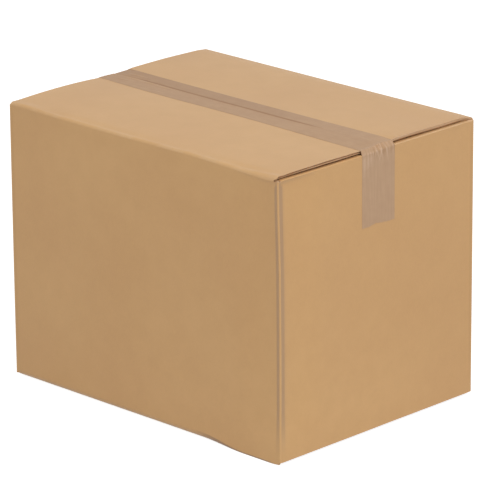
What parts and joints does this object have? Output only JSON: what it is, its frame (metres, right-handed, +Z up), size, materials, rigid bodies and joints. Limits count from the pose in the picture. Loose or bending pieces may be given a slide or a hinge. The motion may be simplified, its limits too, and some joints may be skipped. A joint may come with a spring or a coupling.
{
  "type": "closed cardboard box",
  "caption": "Closed rectangular shipping carton folded from corrugated board, its outer flaps meeting at a seam under a strip of packing tape that runs down both ends.",
  "frame": {"origin": "middle of the base, on the floor plane", "axes": "+X along the length and the taped seam, +Y across it, +Z up"},
  "size_m": [0.4072, 0.3, 0.3179],
  "materials": {
    "kraft_board": "matte",
    "packing_tape": "satin"
  },
  "bodies": {
    "root": {"carton_blank": "kraft_board", "top_tape": "packing_tape", "base_tape": "packing_tape"}
  },
  "joints": []
}
